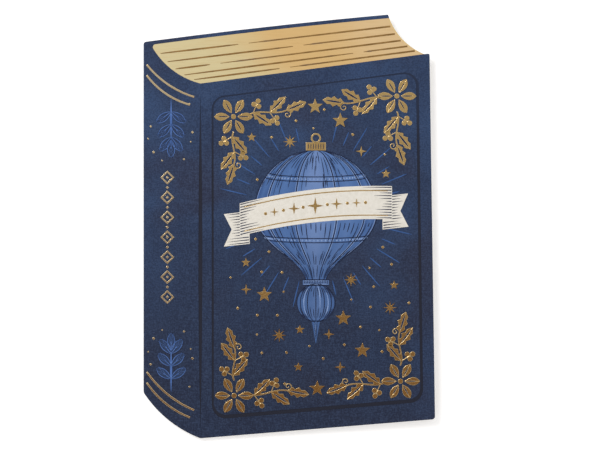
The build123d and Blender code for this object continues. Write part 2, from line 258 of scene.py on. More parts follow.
head_y = card_height / 2
foot_y = -card_height / 2
hinge_x = fold_x + spine_width
cover_width = card_width - spine_width
cover_height = card_height - cover_drop
cover_half_width = cover_width / 2
cover_half_height = cover_height / 2
head_climb = tan(radians(head_slope))
foot_climb = tan(radians(foot_slope))
cover_level = foot_y + cover_half_width * foot_climb + cover_half_height


def on_cover(across, up):
    """Points of the drawn cover, measured from its middle.

    Its rows climb to the right, more at the head than at the foot, and its right side leans in.
    """
    share = (np.asarray(up) + cover_half_height) / cover_height
    climb = foot_climb + (head_climb - foot_climb) * share
    width = cover_width - cover_lean * share
    x = hinge_x + width * (np.asarray(across) / cover_width + 0.5)
    return np.stack((x, cover_level + up + across * climb), axis=-1)


def arc(start, end, sagitta, shares):
    """Points at shares of a round arc whose middle stands a sagitta to the left of its chord.

    Its radius is (c^2 + s^2) / 2s, where c is half the chord and s the sagitta.
    """
    start, end = np.asarray(start), np.asarray(end)
    half = np.hypot(*(end - start)) / 2
    ahead = (end - start) / (2 * half)
    left = np.array((-ahead[1], ahead[0])) * np.sign(sagitta)
    radius = (half**2 + sagitta**2) / (2 * abs(sagitta))
    middle = (start + end) / 2 + left * (abs(sagitta) - radius)
    angle = (2 * np.asarray(shares) - 1)[:, None] * np.arcsin(half / radius)
    return middle + radius * (left * np.cos(angle) + ahead * np.sin(angle))


def lay(plan, height):
    """Points in metres from plan points on the front leaf and heights above it, both in mm.

    The leaf rises to the right, so plan lengths run up its slope and heights stand square to it.
    """
    x = plan[..., 0] * run - height * rise
    z = front_level + plan[..., 0] * rise + height * run
    return np.stack((x, plan[..., 1], z), axis=-1) / 1000


def slab(plan, height, floor, drawn, wrap=False):
    """A closed slab over a grid of plan points: a top at its heights, a flat bottom and a rim.

    The top's cells run along the first axis and then to its left. With wrap, the first axis
    comes round to its start and has no ends.
    """
    rows, columns = plan.shape[:2]
    cell = np.arange(rows * columns).reshape(rows, columns)
    top = np.stack((cell[:-1, :-1], cell[1:, :-1], cell[1:, 1:], cell[:-1, 1:]), -1).reshape(-1, 4)
    if wrap:
        rims = [cell[:, 0], cell[::-1, -1]]
    else:
        rims = [np.concatenate((cell[:, 0], cell[-1, 1:], cell[-2::-1, -1], cell[0, -2::-1]))]
    under = rows * columns
    walls = [np.stack((a[:-1] + under, a[1:] + under, a[1:], a[:-1]), -1) for a in rims]
    points = np.concatenate((lay(plan, height).reshape(-1, 3), lay(plan, floor).reshape(-1, 3)))
    faces = np.concatenate((top, top[:, ::-1] + under, *walls))
    return points, faces, np.tile(drawn.reshape(-1, 3), (2, 1))


def ruled(low, high, crown, floor, wrap=False, pole=False, tone=0.0):
    """A slab ruled across from one edge curve to another on its left.

    The crown is a pair: distances from the nearest edge, and the top's heights there. With pole,
    the second curve is a single point, and only the first one is an edge.
    """
    distances, heights = crown
    breadth = np.linalg.norm(high - low, axis=1)[:, None]
    middle = breadth if pole else breadth / 2
    count = len(distances)
    inset = np.minimum(distances, middle * np.arange(count) / count)
    if pole:
        inset = np.hstack((inset, middle))
        share = inset / np.maximum(breadth, 1e-9)
    else:
        crest = [middle] if count > 1 else []
        share = np.hstack((inset, *crest, breadth - inset[:, ::-1])) / np.maximum(breadth, 1e-9)
        inset = np.hstack((inset, *crest, inset[:, ::-1]))
    plan = low[:, None] + (high - low)[:, None] * share[..., None]
    path = np.cumsum(np.linalg.norm(np.diff((low + high) / 2, axis=0, prepend=0), axis=1))
    along = (path - path[0])[:, None]
    if not wrap:
        inset = np.minimum(inset, np.minimum(along, along[-1] - along))
    drawn = np.stack(np.broadcast_arrays(along, 2 * share - 1, tone), -1)
    height = np.interp(inset, distances, heights)
    return slab(plan, height, np.full(height.shape, floor), drawn, wrap)


def flat(level):
    """The crown of a print: one level all over."""
    return (0.0,), (level,)


def piece(name, shells, finish):
    """Joins closed shells into one object, with touching points made one."""
    starts = np.cumsum([0] + [len(points) for points, _, _ in shells])
    points = np.concatenate([points for points, _, _ in shells])
    faces = np.concatenate([faces + start for (_, faces, _), start in zip(shells, starts)])
    drawn = np.concatenate([drawn for _, _, drawn in shells])
    mesh = bpy.data.meshes.new(name)
    mesh.from_pydata(points.tolist(), [], faces.tolist())
    mesh.attributes.new("drawn", "FLOAT_VECTOR", "POINT").data.foreach_set("vector", drawn.ravel())
    shape = bmesh.new()
    shape.from_mesh(mesh)
    bmesh.ops.remove_doubles(shape, verts=shape.verts, dist=2e-7)
    bmesh.ops.dissolve_degenerate(shape, edges=shape.edges, dist=1e-7)
    shape.to_mesh(mesh)
    shape.free()
    mesh.shade_smooth()
    mesh.set_sharp_from_angle(angle=radians(50))
    mesh.materials.append(finish.material)
    made = bpy.data.objects.new(name, mesh)
    bpy.context.scene.collection.objects.link(made)
    return made


rear_corner = np.array((edge_x - rear_setback, head_y))
fold_head = np.array((fold_x, head_y - (card_width - rear_setback) * tan(radians(rear_slope))))
fold_foot = np.array((fold_x, foot_y + spine_foot_rise))
spine_head = on_cover(-cover_half_width, cover_half_height)
spine_foot = on_cover(-cover_half_width, -cover_half_height)
notch_end = on_cover(cover_half_width - notch_land, cover_half_height)
page_head = fold_head + (page_inset, page_inset * tan(radians(rear_slope)) - rear_edge)
page_far_head = rear_corner - (0, rear_edge)

length = np.linspace(0.0, 1.0, 61)[:, None, None]
depth = np.linspace(0.0, 1.0, 13)[None, :, None]
hollow_left = arc(page_head, spine_head, -page_hollow_sag, depth.ravel())[::-1]
hollow_right = arc(page_far_head, notch_end, -notch_sag, depth.ravel())[::-1]
field_foot = spine_head + (notch_end - spine_head) * length[:, 0]
field_head = arc(page_head, page_far_head, rear_bow, length.ravel())
plan = (
    (1 - length) * hollow_left
    + length * hollow_right
    + (1 - depth) * field_foot[:, None]
    + depth * field_head[:, None]
    - (1 - length) * ((1 - depth) * spine_head + depth * page_head)
    - length * ((1 - depth) * notch_end + depth * page_far_head)
)
drawn = np.concatenate(np.broadcast_arrays(length, depth, 0.0), -1)
field = slab(plan, np.full(plan.shape[:2], page_level), np.full(plan.shape[:2], page_floor), drawn)

straw = srgb(204, 190, 147)
amber = srgb(207, 173, 118)
sand = srgb(211, 182, 137)
tan_fibre = srgb(190, 154, 98)
paper = Finish("page_print", Roughness=0.55, Specular_IOR_Level=0.12)
length_share, _, _ = paper.drawn()
warmth = length_share + (paper.noise(30.0) - 0.5) * 0.25
colour = paper.blend(warmth.ramp(0.18, 0.52), straw, amber)
colour = paper.blend(warmth.ramp(0.62, 0.95), colour, sand)
fibre = paper.noise(500.0, (0.25, 4.0, 1.0))
colour = paper.blend(fibre.ramp(0.45, 0.75) * 0.22, colour, tan_fibre)
paper.feed("Base Color", colour)
paper.bump(fibre, 0.00005)
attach(piece("page_field", [field], paper), "root")

# The page lines: brown strokes printed over the page field, tapered at both ends or blunt where
# they meet the field's right end. They are broken in turn, as the edges of loose leaves are.
page_line_width = 0.66
page_line_gap = 4.2
page_line_margin = 1.6
page_line_blunt = 0.5
page_line_breaks = (0.37, 0.58, 0.19, 0.78, 0.42)
page_line_level = 0.03
page_line_floor = -0.04


def swell(shares, start, end):
    """A taper that rises from 0 as the square root of a sine up to 1, between two shares."""
    return np.sqrt(np.sin(pi * np.clip((shares - start) / (end - start), 0, 1)))


def beside(path, low, high):
    """Two edge curves that run so many mm to the left of a path, point by point."""
    ahead = np.gradient(path, axis=0)
    ahead /= np.linalg.norm(ahead, axis=1)[:, None]
    left = np.stack((-ahead[:, 1], ahead[:, 0]), -1)
    return path + left * low[:, None], path + left * high[:, None]


def stroke(path, half, crown, floor, tone=0.0):
    """A strip carried along a path, with its half width given at each of the path's points."""
    return ruled(*beside(path, -half, half), crown, floor, tone=tone)


def straight(start, end, shares):
    start = np.asarray(start)
    return start + (np.asarray(end) - start) * shares[:, None]


def matte_ink(name, first, second, scale=300.0, tooth=0.00002):
    """A matte print whose two colours are mixed by a fine noise, which also is its tooth."""
    print_finish = Finish(name, Roughness=0.6, Specular_IOR_Level=0.12)
    wash = print_finish.noise(scale).ramp(0.3, 0.7)
    print_finish.feed("Base Color", print_finish.blend(wash, first, second))
    print_finish.bump(wash, tooth)
    return print_finish


shares = np.linspace(0.0, 1.0, 41)
strokes = []
for row, gap_share in enumerate(page_line_breaks, 1):
    share = np.array([row / (len(page_line_breaks) + 1)])
    start = arc(page_head, spine_head, -page_hollow_sag, share)[0]
    end = arc(page_far_head, notch_end, -notch_sag, share)[0]
    ahead = (end - start) / np.hypot(*(end - start))
    gap = start + (end - start) * gap_share
    for near, far, taper_end in (
        (start + ahead * page_line_margin, gap - ahead * page_line_gap / 2, 1.02),
        (gap + ahead * page_line_gap / 2, end - ahead * page_line_blunt, 1.9),
    ):
        half = page_line_width / 2 * swell(shares, -0.02, taper_end) ** 0.8
        strokes.append(stroke(straight(near, far, shares), half, flat(page_line_level), page_line_floor))
umber = matte_ink("page_lines", srgb(122, 92, 50), srgb(148, 116, 68), 260.0)
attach(piece("page_lines", strokes, umber), "root")

# The spine's rules: two pairs of curved lines in hot-stamped gold foil, at its head and foot.
# The die raises them with flat tops and slim bevelled edges, painted paler as a highlight.
rule_width = 0.80
rule_pitch = 4.3
rule_fold_inset = 1.3
rule_hinge_inset = 2.5
rule_step_in = 1.7
rule_sag = 1.75
rule_head_offset = 7.1
rule_foot_offset = 5.0
stamped = ((0.0, 0.02, 0.08, 0.11, 0.15), (0.125, 0.145, 0.195, 0.200, 0.200))
bevel_high = 0.196
bevel_low = 0.184
foil_floor = -0.03


def gilding(name, bright, dull):
    """Satin gold foil with a fine pitting, painted paler as a highlight on the bevels below its flat
    tops.
    """
    foil = Finish(name, Metallic=1.0)
    x, y, z = foil.parts(foil.place())
    height = (z - front_level / 1000) * run - x * rise
    tarnish = foil.noise(70.0).ramp(0.35, 0.7)
    colour = foil.blend(tarnish, bright, dull)
    # Painted highlight: the bevels below the flat tops are mixed towards pale gold.
    bevel_highlight = height.ramp(bevel_high / 1000, bevel_low / 1000) * 0.42
    foil.feed("Base Color", foil.blend(bevel_highlight, colour, srgb(236, 220, 184)))
    pitting = foil.noise(1800.0, detail=2.0)
    foil.feed("Roughness", 0.16 + pitting * 0.12)
    foil.bump(pitting, 0.00002)
    return foil


# The spine's foil is the same gold painted paler: a painted highlight for the bright edges that crowd
# its thin lines.
pale_leaf = gilding("pale_foil", srgb(216, 196, 158), srgb(204, 182, 142))
shares = np.linspace(0.0, 1.0, 49)
strokes = []
for step in range(2):
    for level_at_fold, level_at_hinge, offset in (
        (page_head[1], spine_head[1], -rule_head_offset - step * rule_pitch),
        (fold_foot[1], spine_foot[1], rule_foot_offset + (1 - step) * rule_pitch),
    ):
        rule_end_x = hinge_x - rule_hinge_inset - step * rule_step_in
        fall = (level_at_hinge - level_at_fold) / (hinge_x - fold_x)
        start = (fold_x + rule_fold_inset, level_at_fold + rule_fold_inset * fall + offset)
        end = (rule_end_x, level_at_fold + (rule_end_x - fold_x) * fall + offset)
        half = rule_width / 2 * swell(shares, -0.04, 1.04) ** 0.3
        strokes.append(stroke(arc(start, end, -rule_sag, shares), half, stamped, foil_floor))
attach(piece("spine_rules", strokes, pale_leaf), "root")

# The spine's twigs: two sprigs with paired leaves, printed in blue line work. Each leaf is a
# field hardly paler than the board, with a blue rim, a midrib and fine side veins.
twig_inset = 11.1
twig_head_offset = 22.7
twig_foot_offset = 0.1
twig_length = 18.0
twig_leaf_reach = 7.0
twig_leaf_length = 7.2
twig_leaf_width = 3.0
twig_pairs = ((0.30, 54.0), (0.58, 46.0), (0.86, 38.0))
twig_end_share = 0.92
twig_stem = 0.5
print_level = 0.07
print_floor = -0.03
drawing_level = 0.10
rim_width = 0.22
vein_width = 0.08
vein_count = 3
vein_angle = 20.0


def turned(point, angle, reach):
    """The point that lies a reach away from another, at an angle in degrees."""
    return np.asarray(point) + reach * np.array((cos(radians(angle)), sin(radians(angle))))


def inked(path, half, level, tone=0.0):
    """A flat stroke of ink with its top at a level, rooted in the board below it."""
    return stroke(path, half, flat(level), print_floor, tone=tone)


def tapered(path, half, shares, near, far, level):
    """A flat stroke of ink that swells between two shares and tapers to nothing at them."""
    return inked(path, half * swell(shares, near, far), level)


def petal(shares):
    """The half width of a petal as a share, sin(pi s^1.15)^0.7, fullest past its middle."""
    return np.sin(pi * shares**1.15) ** 0.7


shares = np.linspace(0.0, 1.0, 25)
coarse = shares[::4]
leaves = []
drawing = []
twig_head_level = fold_head[1] - twig_head_offset
twig_foot_level = fold_foot[1] + twig_foot_offset
for level, heading in ((twig_head_level, -90.0), (twig_foot_level, 90.0)):
    root = np.array((fold_x + twig_inset, level))
    stem = straight(root, turned(root, heading, twig_length), shares)
    drawing.append(tapered(stem, twig_stem / 2, shares, 0.0, 1.0, drawing_level))
    nodes = [(share, side * spread) for share, spread in twig_pairs for side in (-1, 1)]
    for share, outward in (*nodes, (twig_end_share, 0.0)):
        node = turned(root, heading, twig_length * share)
        tip = turned(node, heading + outward, twig_leaf_length)
        half = twig_leaf_width / 2 * petal(shares)
        leaves.append(inked(straight(node, tip, shares), half, print_level))
        for edge, end_share in ((-1, 1.01), (0, 0.6), (1, 1.01)):
            drawn_part = shares < end_share
            line = shares[drawn_part]
            path = beside(straight(node, tip, shares), half * edge, half)[0][drawn_part]
            drawing.append(tapered(path, rim_width / 2, line, -0.05, end_share, drawing_level))
        for k in range(1, vein_count):
            for side in (-1, 1):
                share = np.array([0.12 + 0.7 * k / vein_count])
                base = straight(node, tip, share)[0]
                reach = 0.75 * twig_leaf_width / 2 * petal(share)[0] / sin(radians(vein_angle))
                end = turned(base, heading + outward + side * vein_angle, reach)
                vein = straight(base, end, coarse)
                drawing.append(tapered(vein, vein_width / 2, coarse, -0.1, 1.0, drawing_level))

leaf_blue = matte_ink("twig_leaf", srgb(42, 56, 84), srgb(46, 63, 96), 220.0)
line_blue = matte_ink("twig_line", srgb(88, 122, 186), srgb(72, 104, 164))
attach(piece("twig_leaves", leaves, leaf_blue), "root")
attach(piece("twig_lines", drawing, line_blue), "root")

# The chain on the spine: open lozenges with specks in them and between them, and more specks
# strewn round the twigs. All are hot-stamped in the same pale foil as the spine's rules.
lozenge_count = 7
lozenge_share = 0.7
lozenge_width = 5.6
lozenge_line = 0.62
chain_inset = 9.6
chain_head_gap = 5.4
chain_foot_gap = 11.9
chain_speck_radius = 0.64
twig_specks = (
    (-8.2, 11.2, 0.55),
    (7.4, 2.2, 0.45),
    (-9.2, 16.2, 0.40),
    (8.6, 13.6, 0.60),
    (7.9, 17.4, 0.40),
    (-7.0, 21.6, 0.60),
    (5.2, 24.4, 0.50),
    (-3.6, 25.0, 0.40),
)


def round_star(centre, points, outer, waist, crown=stamped, floor=foil_floor):
    """A star round its centre. Its outline runs straight from corner to corner. With a waist of
    1.0 it is a round dot, or a tiny diamond if it has two points."""
    per_side = 4 if waist < 1.0 or points == 2 else 16 // points
    corner = np.arange(2 * points + 1)
    reach = np.where(corner % 2, outer * waist, outer)
    angle = pi / 2 + pi * corner / points
    fine = np.linspace(0.0, 2 * points, 2 * points * per_side + 1)
    if waist < 1.0 or points == 2:
        x = np.interp(fine, corner, reach * np.cos(angle))
        y = np.interp(fine, corner, reach * np.sin(angle))
    else:
        x, y = outer * np.cos(fine * pi / points), outer * np.sin(fine * pi / points)
    outline = np.stack((x, y), -1) + centre
    hub = np.broadcast_to(centre, outline.shape)
    return ruled(outline, hub, crown, floor, wrap=True, pole=True)


twig_reach = twig_length * twig_end_share + twig_leaf_reach
chain_top = twig_head_level - twig_reach - chain_head_gap
chain_bottom = twig_foot_level + twig_reach + chain_foot_gap
lozenge_pitch = (chain_top - chain_bottom) / (lozenge_count - 1 + lozenge_share)
half_height = lozenge_pitch * lozenge_share / 2
half_width = lozenge_width / 2
line_ratio = hypot(half_height, half_width) / (half_height * half_width)
inner_scale = 1 - lozenge_line * line_ratio
links = []
for link in range(lozenge_count):
    centre = np.array((fold_x + chain_inset, chain_bottom + half_height + link * lozenge_pitch))
    corner = np.arange(5) * pi / 2
    side = np.linspace(0.0, 4.0, 33)
    wide = np.interp(side, range(5), half_width * np.cos(corner))
    tall = np.interp(side, range(5), half_height * np.sin(corner))
    rhomb = np.stack((wide, tall), -1)
    links.append(ruled(centre + rhomb, centre + rhomb * inner_scale, stamped, foil_floor, wrap=True))
    links.append(round_star(centre, 2, chain_speck_radius, 1.0))
    if link < lozenge_count - 1:
        links.append(round_star(centre + (0, lozenge_pitch / 2), 2, chain_speck_radius, 1.0))
for level, heading in ((twig_head_level, -1), (twig_foot_level, 1)):
    for across, reach, radius in twig_specks:
        spot = (fold_x + twig_inset + across, level + heading * reach)
        links.append(round_star(spot, 2, radius, 1.0))
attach(piece("spine_chain", links, pale_leaf), "root")

# The glass ball: five ribs of blue ink that run from pole to neck, with the board's navy left as
# a line between them. Each rib is paler along its middle, and the middle ribs are paler still.
ball_level = 14.9
ball_margin = 17.95
ball_drop = 27.4
ball_neck = 4.0
ball_ogee = 6.4
circle_handle = 0.5523
gore_line = 0.34
gore_shares = (-1.0, -0.80, -0.34, 0.34, 0.80, 1.0)
gore_tones = (0.0, 0.35, 1.0, 0.55, 0.15)
frame_side = 4.6
frame_head = 6.2
frame_foot = 7.2

frame_right = cover_half_width - frame_side
frame_top = cover_half_height - frame_head
frame_bottom = frame_foot - cover_half_height
ball_radius = frame_right - ball_margin
ball_middle, ball_y = on_cover(0.0, ball_level)
neck_y = ball_y - ball_drop


def bezier(control, shares):
    """A cubic Bezier curve, a(1-s)^3 + 3b s(1-s)^2 + 3c s^2(1-s) + d s^3."""
    a, b, c, d = (np.asarray(point, float) for point in control)
    s = np.asarray(shares)[:, None]
    return a * (1 - s) ** 3 + 3 * b * s * (1 - s) ** 2 + 3 * c * s**2 * (1 - s) + d * s**3


def silhouette(shares):
    """Half widths and levels of the ball from its pole, at 0, to its neck, at 1. Its equator, at
    0.5, parts a quarter circle from an ogee."""
    handle = circle_handle * ball_radius
    pole_y = ball_y + ball_radius
    upper = ((0, pole_y), (handle, pole_y), (ball_radius, ball_y + handle), (ball_radius, ball_y))
    lower = (
        (ball_radius, ball_y),
        (ball_radius, ball_y - ball_drop / 2),
        (ball_ogee, neck_y + ball_drop / 3),
        (ball_neck, neck_y),
    )
    top = bezier(upper, np.clip(2 * shares, 0, 1))
    low = bezier(lower, np.clip(2 * shares - 1, 0, 1))
    return np.where(shares[:, None] < 0.5, top, low).T


def meridian(shares, lean):
    """Points of a line from pole to neck, at a share of the ball's half width."""
    wide, level = silhouette(shares)
    return np.stack((ball_middle + wide * lean, level), -1)


shares = np.linspace(0.0, 1.0, 97)
wide, level = silhouette(shares)
ribs = []
for left, right, tone in zip(gore_shares, gore_shares[1:], gore_tones):
    margin = np.minimum(gore_line / 2, wide * (right - left) / 2)
    low = meridian(shares, left) + np.stack((margin * (left > -1), 0 * margin), -1)
    high = meridian(shares, right) - np.stack((margin * (right < 1), 0 * margin), -1)
    ribs.append(ruled(low, high, flat(print_level), print_floor, tone=tone))

glass = Finish("ball_blue", Roughness=0.55, Specular_IOR_Level=0.12)
_, across, tone = glass.drawn()
wash = glass.noise(160.0, detail=5.0)
light = (1 - abs(across)) * 0.35 + tone * 0.65 + (wash - 0.5) * 0.6
colour = glass.blend(light.ramp(0.0, 0.6), srgb(58, 87, 138), srgb(80, 112, 164))
colour = glass.blend(light.ramp(0.5, 1.1), colour, srgb(108, 134, 182))
foot_shade = glass.parts(glass.place())[1].ramp(ball_y / 1000, neck_y / 1000)
colour = glass.blend(foot_shade * 0.45, colour, srgb(50, 74, 116))
glass.feed("Base Color", colour)
glass.bump(glass.noise(1600.0), 0.00004)
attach(piece("ball_ribs", ribs, glass), "root")

# The ball's line work: navy hatching that tapers into the ribs from the pole, from the neck and
# from under the label, navy lines round the ball and between its ribs, two pale highlights on
# each rib, and two banded rings of fine lines and pale beads.
hatch_width = 0.36
hatch_level = 0.09
hatch_density = 11
full_line = (0.07, 0.985)
short_line = (0.15, 0.88)
pole_hatch = 0.30
neck_hatch = 0.24
label_edge = 0.56
label_hatch = 0.16
shine_width = 0.22
shine_offset = 0.42
shine_span = (0.09, 0.91)
middle_strokes = 40
rib_line = 0.42
band_levels = ((0.60, 1.9, -1.8), (-0.42, 1.7, -1.4))
bead_radius = 0.36
bead_pitch = 1.6

rng = np.random.default_rng(12)
rib_half = rib_line / 2 * (0.45 + 0.55 * np.minimum(wide / ball_radius * 2, 1))
etch = []
shine = []
beads = []
for left, right in zip(gore_shares, gore_shares[1:]):
    count = max(3, round((right - left) * hatch_density))
    for k, lean in enumerate(np.linspace(left, right, count + 2)[1:-1]):
        reach = 0.35 + 0.65 * abs(2 * (lean - left) / (right - left) - 1)
        pole, neck = full_line if k % 3 == 1 else short_line
        for near, far, boldness in (
            (pole, pole + pole_hatch * reach * rng.uniform(0.5, 1.2), 0.8),
            (neck - neck_hatch * reach * rng.uniform(0.5, 1.2), neck, 0.8),
            (label_edge, label_edge + label_hatch * reach * rng.uniform(0.4, 1.3), 1.0),
        ):
            line = np.linspace(near, far, 25)
            half = boldness * hatch_width / 2
            path = meridian(line, lean)
            etch.append(tapered(path, half, line, near - 0.005, far + 0.005, hatch_level))
    count = round((right - left) * middle_strokes / 2)
    for lean in left + (right - left) * rng.uniform(0.12, 0.88, count):
        near = rng.uniform(0.12, 0.34) if rng.random() < 0.5 else rng.uniform(0.60, 0.80)
        far = near + rng.uniform(0.03, 0.10)
        line = np.linspace(near, far, 13)
        path = meridian(line, lean)
        etch.append(tapered(path, 0.4 * hatch_width, line, near, far, hatch_level))
    line = np.linspace(0.0, 1.0, 97)
    etch.append(inked(meridian(line, left), rib_half, hatch_level))
    line = np.linspace(*shine_span, 61)
    for lean, side in ((left, 1), (right, -1)):
        path = meridian(line, lean) + (side * shine_offset, 0)
        shine.append(tapered(path, shine_width / 2, line, *shine_span, hatch_level))
line = np.linspace(0.0, 1.0, 97)
etch.append(inked(meridian(line, 1.0), rib_half, hatch_level))
wide_up, level_up = silhouette(shares)[:, ::-1]
for level_share, height, sag in band_levels:
    level = ball_y + level_share * ball_radius
    at = np.interp(level, level_up, shares[::-1])
    bow = np.linspace(-pi / 2, pi / 2, 61)
    for offset in (-height / 2, height / 2):
        wide = np.interp(level + offset, level_up, wide_up)
        path = np.stack((ball_middle + wide * np.sin(bow), level + offset + sag * np.cos(bow)), -1)
        etch.append(inked(path, np.full(61, hatch_width / 2), hatch_level))
    wide = silhouette(np.array([at]))[0][0]
    count = int(wide * pi / bead_pitch)
    for angle in np.linspace(-pi / 2, pi / 2, count + 2)[1:-1]:
        spot = np.array((ball_middle + wide * np.sin(angle), level + sag * np.cos(angle)))
        beads.append(round_star(spot, 8, bead_radius, 1.0, flat(hatch_level), floor=print_floor))

ink_navy = matte_ink("navy_line", srgb(29, 36, 60), srgb(36, 46, 74))
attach(piece("ball_lines", etch, ink_navy), "root")
pale_blue = matte_ink("pale_blue", srgb(134, 158, 200), srgb(116, 142, 188))
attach(piece("ball_highlights", shine + beads, pale_blue), "root")

# The collar, drop and spire below the ball: one blown form that narrows to a point. They are
# printed in the ball's blue ink, with navy line work and pale lights over it.
collar_width = 10.5
collar_height = 2.2
drop_radius = 7.6
drop_overlap = 0.6
spire_length = 9.5
spire_width = 3.4
collar_level = 0.08
collar_lines = 15
rib_leans = (-1.0, -0.82, -0.45, 0.0, 0.45, 0.82, 1.0)
drop_top = 0.19
drop_foot = 0.80
collar_light = 0.45
drop_lights = ((-0.64, 0.18, 0.76), (0.22, 0.12, 0.60), (0.65, 0.30, 0.72))
spire_lights = (0.12, 0.40)
spire_light_length = 0.3

drop_y = neck_y - collar_height - drop_radius + drop_overlap
spire_y = drop_y - drop_radius + drop_overlap
shares = np.linspace(0.0, 1.0, 49)
angle = (0.5 - shares) * pi
globe = (drop_radius * np.cos(angle), drop_y + drop_radius * np.sin(angle))
forms = []
etch = []
glow = []


def globe_line(lean):
    """Points of the drop's outline from top to bottom, at a share of its half width."""
    return np.stack((ball_middle + globe[0] * lean, globe[1]), -1)


forms.append(ruled(globe_line(-1.0), globe_line(1.0), flat(print_level), print_floor, tone=0.7))
collar_left = np.array((ball_middle - collar_width / 2, neck_y))
collar_right = collar_left + (collar_width, 0)
collar_fall = np.array((0, -collar_height))
across = np.linspace(0.0, 1.0, 25)
collar_foot = straight(collar_left + collar_fall, collar_right + collar_fall, across)
collar_head = straight(collar_left, collar_right, across)
forms.append(ruled(collar_foot, collar_head, flat(collar_level), print_floor, tone=1.0))
half = spire_width / 2 * (1 - shares)
spire = straight((ball_middle, spire_y), (ball_middle, spire_y - spire_length), shares)
forms.append(inked(spire, half + 0.02, print_level, tone=0.5))
for lean in rib_leans:
    half = hatch_width / 2 * swell(shares, 0.0, 1.0) ** 0.5
    etch.append(inked(globe_line(lean), half, hatch_level))
coarse = shares[::4]
for k in range(1, collar_lines + 1):
    top = collar_left + (collar_width * k / (collar_lines + 1), -0.15)
    line = straight(top, top + collar_fall * rng.uniform(0.55, 0.85), coarse)
    etch.append(tapered(line, 0.4 * hatch_width, coarse, -0.02, 1.0, hatch_level))
for side in (-1, 1):
    spire_tip = (ball_middle, spire_y - 0.8 * spire_length)
    line = straight((ball_middle + side * 0.55, spire_y), spire_tip, shares)
    etch.append(tapered(line, 0.4 * hatch_width, shares, -0.02, 1.0, hatch_level))
for left, right in zip(rib_leans, rib_leans[1:]):
    for lean in (0.7 * left + 0.3 * right, 0.3 * left + 0.7 * right):
        for near, far in (
            (drop_top, drop_top + rng.uniform(0.12, 0.26)),
            (drop_foot - rng.uniform(0.1, 0.26), drop_foot),
        ):
            part = (shares > near) & (shares < far)
            path = globe_line(lean)[part]
            etch.append(tapered(path, 0.4 * hatch_width, shares[part], near, far, hatch_level))
for fall in (0.0, collar_height):
    line = straight(collar_left + (-0.1, -fall), collar_right + (0.1, -fall), across)
    etch.append(tapered(line, 0.6 * hatch_width, across, -0.1, 1.1, hatch_level))
for fall in (collar_light, collar_height - collar_light):
    line = straight(collar_left + (0.3, -fall), collar_right + (-0.3, -fall), across)
    glow.append(tapered(line, 0.8 * shine_width, across, -0.05, 1.05, hatch_level))
for lean, near, far in drop_lights:
    part = (shares > near) & (shares < far)
    path = globe_line(lean)[part]
    glow.append(tapered(path, shine_width, shares[part], near, far, hatch_level))
for fall in spire_lights:
    near = (ball_middle - 0.6 + fall, spire_y - fall * spire_length)
    far = (ball_middle - 0.1, spire_y - (fall + spire_light_length) * spire_length)
    line = straight(near, far, coarse)
    glow.append(tapered(line, 0.6 * shine_width, coarse, -0.1, 1.1, hatch_level))
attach(piece("drop_and_spire", forms, glass), "root")
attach(piece("drop_lines", etch, ink_navy), "root")
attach(piece("drop_highlights", glow, pale_blue), "root")

# The cap and hanging ring on the ball: a fluted metal cap with a wire loop. Both are
# hot-stamped in the deeper gold foil, and the flutes are printed on the cap in navy.
cap_width = 8.0
cap_height = 3.2
cap_flutes = 7
flute_width = 0.3
flute_level = 0.215
ring_radius = 1.7
ring_line = 0.65

cap_y = ball_y + ball_radius
across = np.linspace(0.0, 1.0, 41)
left = np.array((ball_middle - cap_width / 2, cap_y))
foot = straight(left, left + (cap_width, 0), across)
band = ruled(foot, foot + (0, cap_height), stamped, foil_floor)
circle = np.linspace(0.0, 2 * pi, 49)
ring = np.stack((np.cos(circle), np.sin(circle)), -1)
centre = np.array((ball_middle, cap_y + cap_height + ring_radius))
ring_outer = centre + ring * (ring_radius + ring_line / 2)
ring_inner = centre + ring * (ring_radius - ring_line / 2)
loop = ruled(ring_outer, ring_inner, stamped, foil_floor, wrap=True)
coarse = np.linspace(0.0, 1.0, 13)
gold_leaf = gilding("gold_foil", srgb(208, 177, 118), srgb(197, 165, 107))
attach(piece("ball_cap", [band, loop], gold_leaf), "root")
flutes = []
for k in range(1, cap_flutes + 1):
    start = left + (cap_width * k / (cap_flutes + 1), 0.5)
    line = straight(start, start + (0, cap_height - 1.0), coarse)
    flutes.append(tapered(line, flute_width / 2, coarse, -0.1, 1.1, flute_level))
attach(piece("cap_flutes", flutes, ink_navy), "root")

# The rays: thin strokes of light round the ball, long and short in turn, with a gap at its cap,
# its drop and the label. They are printed in a plain blue ink.
ray_count = 40
ray_clearance = 4.0
ray_long = 11.0
ray_short = 6.0
ray_width = 0.5
ray_gap = 9.0
ray_level = 0.06

shares = np.linspace(0.0, 1.0, 25)
strokes = []
for k in range(ray_count):
    angle = 360.0 * (k + 0.5) / ray_count
    if not ray_gap < angle % 90 < 90 - ray_gap:
        continue
    near = turned((ball_middle, ball_y), angle, ball_radius + ray_clearance)
    far = turned(near, angle, ray_long if k % 2 == 0 else ray_short)
    line = straight(near, far, shares)
    strokes.append(tapered(line, ray_width / 2, shares, -0.02, 1.02, ray_level))
ray_blue = matte_ink("ray_blue", srgb(60, 92, 146), srgb(52, 82, 132))
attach(piece("rays", strokes, ray_blue), "root")

# The label across the ball: an arched cream band with a notched tail tucked behind each end.
# Navy hatching shades its ends and its tails. It bears no words: it has a foil rule along each
# side, and a row of foil sparkles and dots along its middle.
label_level = 15.0
label_margin = 16.05
label_width = 13.2
label_arch = 2.2
label_rule_inset = 1.7
label_rule_width = 0.5
label_star = 3.4
label_star_waist = 0.26
label_sparkles = ((8.6, 2.4), (16.6, 1.8))
label_dots = (4.9, 12.9, 20.2)
label_dot_radius = 0.65
tail_length = 10.5
tail_drop = 3.6
tail_tuck = 4.0
tail_notch = 3.2
tail_level = 0.08
label_top = 0.115
label_ink_level = 0.13
fold_lines = 12
fold_width = 0.44
fold_tuck = 0.6
tail_bare = 0.3

band_low = label_level - label_width / 2
band_high = label_level + label_width / 2
band_half = cover_half_width - label_margin
shares = np.linspace(0.0, 1.0, 61)


